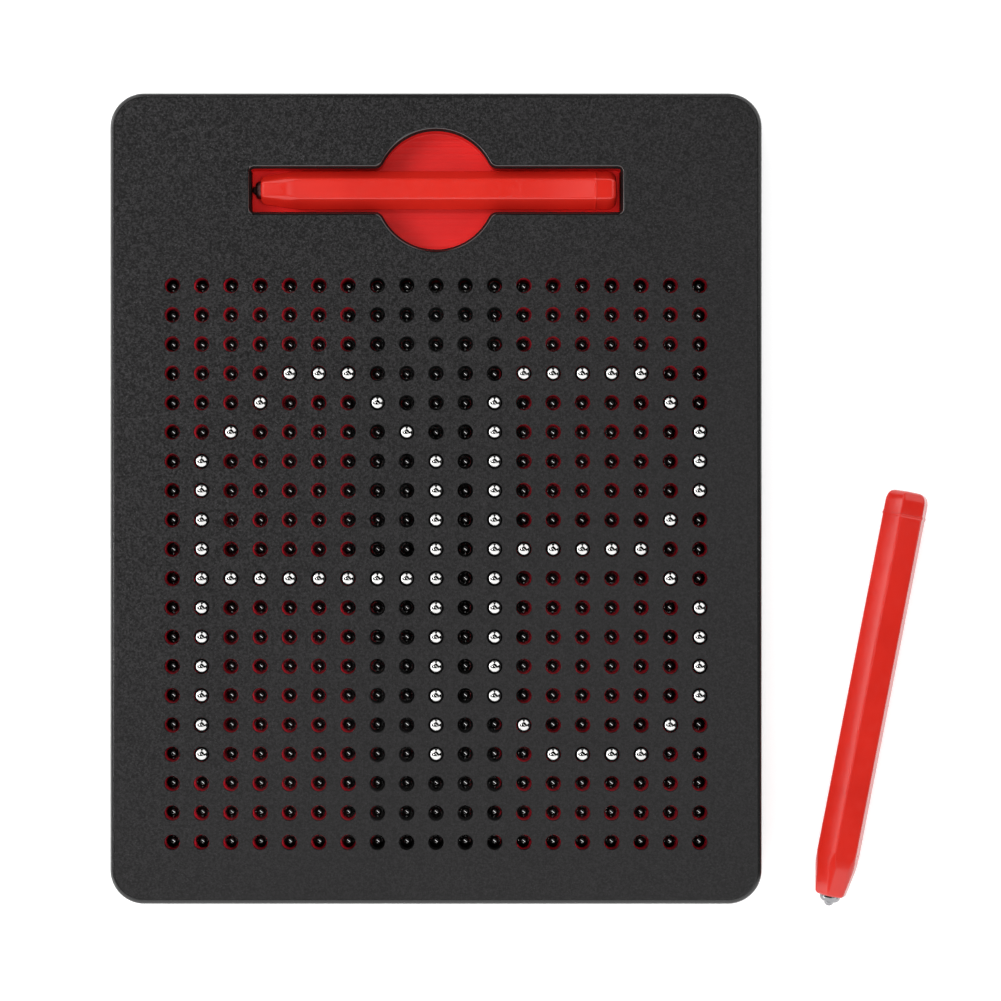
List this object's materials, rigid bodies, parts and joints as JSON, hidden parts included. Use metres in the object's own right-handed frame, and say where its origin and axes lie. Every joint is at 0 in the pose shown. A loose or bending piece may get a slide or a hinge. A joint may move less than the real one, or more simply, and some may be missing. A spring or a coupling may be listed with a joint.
{
  "type": "magnetic bead drawing board",
  "caption": "Flat black drawing board whose steel beads rise into holes under a magnetic hexagonal stylus, with a stylus slot, a finger recess and a loose stylus.",
  "frame": {"origin": "middle of the board's underside", "axes": "+X across the board's width, +Y up its height towards the stylus slot, +Z out of its face"},
  "size_m": [0.2167, 0.2152, 0.0124],
  "materials": {
    "black_plastic": "fine spark-eroded satin black",
    "red_plastic": "glossy bright red",
    "red_sheet": "satin deep red",
    "black_sheet": "satin black",
    "steel": "polished steel",
    "magnet": "plated magnet"
  },
  "bodies": {
    "board": {"back_cover": "black_plastic", "bead_tray": "black_plastic", "case_screw_1": "steel", "case_screw_2": "steel", "case_screw_3": "steel", "case_screw_4": "steel", "case_screw_5": "steel", "case_screw_6": "steel", "centre_sheet": "black_sheet", "left_sheet": "red_sheet", "right_sheet": "red_sheet", "stylus_tray": "red_plastic", "top_cover": "black_plastic"},
    "beads_a_left_leg": {"beads_a_left_leg": "steel"},
    "beads_a_arch": {"beads_a_arch": "steel"},
    "beads_a_right_leg": {"beads_a_right_leg": "steel"},
    "beads_a_crossbar": {"beads_a_crossbar": "steel"},
    "beads_b_spine": {"beads_b_spine": "steel"},
    "beads_b_top": {"beads_b_top": "steel"},
    "beads_b_upper_bowl": {"beads_b_upper_bowl": "steel"},
    "beads_b_waist": {"beads_b_waist": "steel"},
    "beads_b_lower_bowl": {"beads_b_lower_bowl": "steel"},
    "beads_b_foot": {"beads_b_foot": "steel"},
    "beads_row_01": {"beads_row_01": "steel"},
    "beads_row_02": {"beads_row_02": "steel"},
    "beads_row_03": {"beads_row_03": "steel"},
    "beads_row_18": {"beads_row_18": "steel"},
    "beads_row_19": {"beads_row_19": "steel"},
    "beads_row_20": {"beads_row_20": "steel"},
    "beads_left_of_a": {"beads_left_of_a": "steel"},
    "beads_in_a_top": {"beads_in_a_top": "steel"},
    "beads_in_a_bottom": {"beads_in_a_bottom": "steel"},
    "beads_between_letters": {"beads_between_letters": "steel"},
    "beads_in_b_top": {"beads_in_b_top": "steel"},
    "beads_in_b_bottom": {"beads_in_b_bottom": "steel"},
    "beads_right_top": {"beads_right_top": "steel"},
    "beads_right_middle": {"beads_right_middle": "steel"},
    "beads_right_bottom": {"beads_right_bottom": "steel"},
    "docked_stylus": {"docked_stylus_barrel": "red_plastic", "docked_stylus_cap": "red_plastic", "docked_stylus_magnet": "magnet", "docked_stylus_nib_ball": "steel", "docked_stylus_nib_collar": "steel"},
    "spare_stylus": {"spare_stylus_barrel": "red_plastic", "spare_stylus_cap": "red_plastic", "spare_stylus_magnet": "magnet", "spare_stylus_nib_ball": "steel", "spare_stylus_nib_collar": "steel"}
  },
  "joints": [
    {"name": "a_left_leg_drop", "type": "slide", "parent": "board", "child": "beads_a_left_leg", "axis": [0, 0, 1], "range_m": [-0.00365, 0]},
    {"name": "a_arch_drop", "type": "slide", "parent": "board", "child": "beads_a_arch", "axis": [0, 0, 1], "range_m": [-0.00365, 0]},
    {"name": "a_right_leg_drop", "type": "slide", "parent": "board", "child": "beads_a_right_leg", "axis": [0, 0, 1], "range_m": [-0.00365, 0]},
    {"name": "a_crossbar_drop", "type": "slide", "parent": "board", "child": "beads_a_crossbar", "axis": [0, 0, 1], "range_m": [-0.00365, 0]},
    {"name": "b_spine_drop", "type": "slide", "parent": "board", "child": "beads_b_spine", "axis": [0, 0, 1], "range_m": [-0.00365, 0]},
    {"name": "b_top_drop", "type": "slide", "parent": "board", "child": "beads_b_top", "axis": [0, 0, 1], "range_m": [-0.00365, 0]},
    {"name": "b_upper_bowl_drop", "type": "slide", "parent": "board", "child": "beads_b_upper_bowl", "axis": [0, 0, 1], "range_m": [-0.00365, 0]},
    {"name": "b_waist_drop", "type": "slide", "parent": "board", "child": "beads_b_waist", "axis": [0, 0, 1], "range_m": [-0.00365, 0]},
    {"name": "b_lower_bowl_drop", "type": "slide", "parent": "board", "child": "beads_b_lower_bowl", "axis": [0, 0, 1], "range_m": [-0.00365, 0]},
    {"name": "b_foot_drop", "type": "slide", "parent": "board", "child": "beads_b_foot", "axis": [0, 0, 1], "range_m": [-0.00365, 0]},
    {"name": "row_01_lift", "type": "slide", "parent": "board", "child": "beads_row_01", "axis": [0, 0, 1], "range_m": [0, 0.00365]},
    {"name": "row_02_lift", "type": "slide", "parent": "board", "child": "beads_row_02", "axis": [0, 0, 1], "range_m": [0, 0.00365]},
    {"name": "row_03_lift", "type": "slide", "parent": "board", "child": "beads_row_03", "axis": [0, 0, 1], "range_m": [0, 0.00365]},
    {"name": "row_18_lift", "type": "slide", "parent": "board", "child": "beads_row_18", "axis": [0, 0, 1], "range_m": [0, 0.00365]},
    {"name": "row_19_lift", "type": "slide", "parent": "board", "child": "beads_row_19", "axis": [0, 0, 1], "range_m": [0, 0.00365]},
    {"name": "row_20_lift", "type": "slide", "parent": "board", "child": "beads_row_20", "axis": [0, 0, 1], "range_m": [0, 0.00365]},
    {"name": "left_of_a_lift", "type": "slide", "parent": "board", "child": "beads_left_of_a", "axis": [0, 0, 1], "range_m": [0, 0.00365]},
    {"name": "in_a_top_lift", "type": "slide", "parent": "board", "child": "beads_in_a_top", "axis": [0, 0, 1], "range_m": [0, 0.00365]},
    {"name": "in_a_bottom_lift", "type": "slide", "parent": "board", "child": "beads_in_a_bottom", "axis": [0, 0, 1], "range_m": [0, 0.00365]},
    {"name": "between_letters_lift", "type": "slide", "parent": "board", "child": "beads_between_letters", "axis": [0, 0, 1], "range_m": [0, 0.00365]},
    {"name": "in_b_top_lift", "type": "slide", "parent": "board", "child": "beads_in_b_top", "axis": [0, 0, 1], "range_m": [0, 0.00365]},
    {"name": "in_b_bottom_lift", "type": "slide", "parent": "board", "child": "beads_in_b_bottom", "axis": [0, 0, 1], "range_m": [0, 0.00365]},
    {"name": "right_top_lift", "type": "slide", "parent": "board", "child": "beads_right_top", "axis": [0, 0, 1], "range_m": [0, 0.00365]},
    {"name": "right_middle_lift", "type": "slide", "parent": "board", "child": "beads_right_middle", "axis": [0, 0, 1], "range_m": [0, 0.00365]},
    {"name": "right_bottom_lift", "type": "slide", "parent": "board", "child": "beads_right_bottom", "axis": [0, 0, 1], "range_m": [0, 0.00365]},
    {"name": "docked_stylus_lift", "type": "slide", "parent": "board", "child": "docked_stylus", "axis": [0, 0, 1], "range_m": [0, 0.06]},
    {"name": "spare_stylus_lift", "type": "slide", "parent": "board", "child": "spare_stylus", "axis": [0, 0, 1], "range_m": [0, 0.06]}
  ]
}
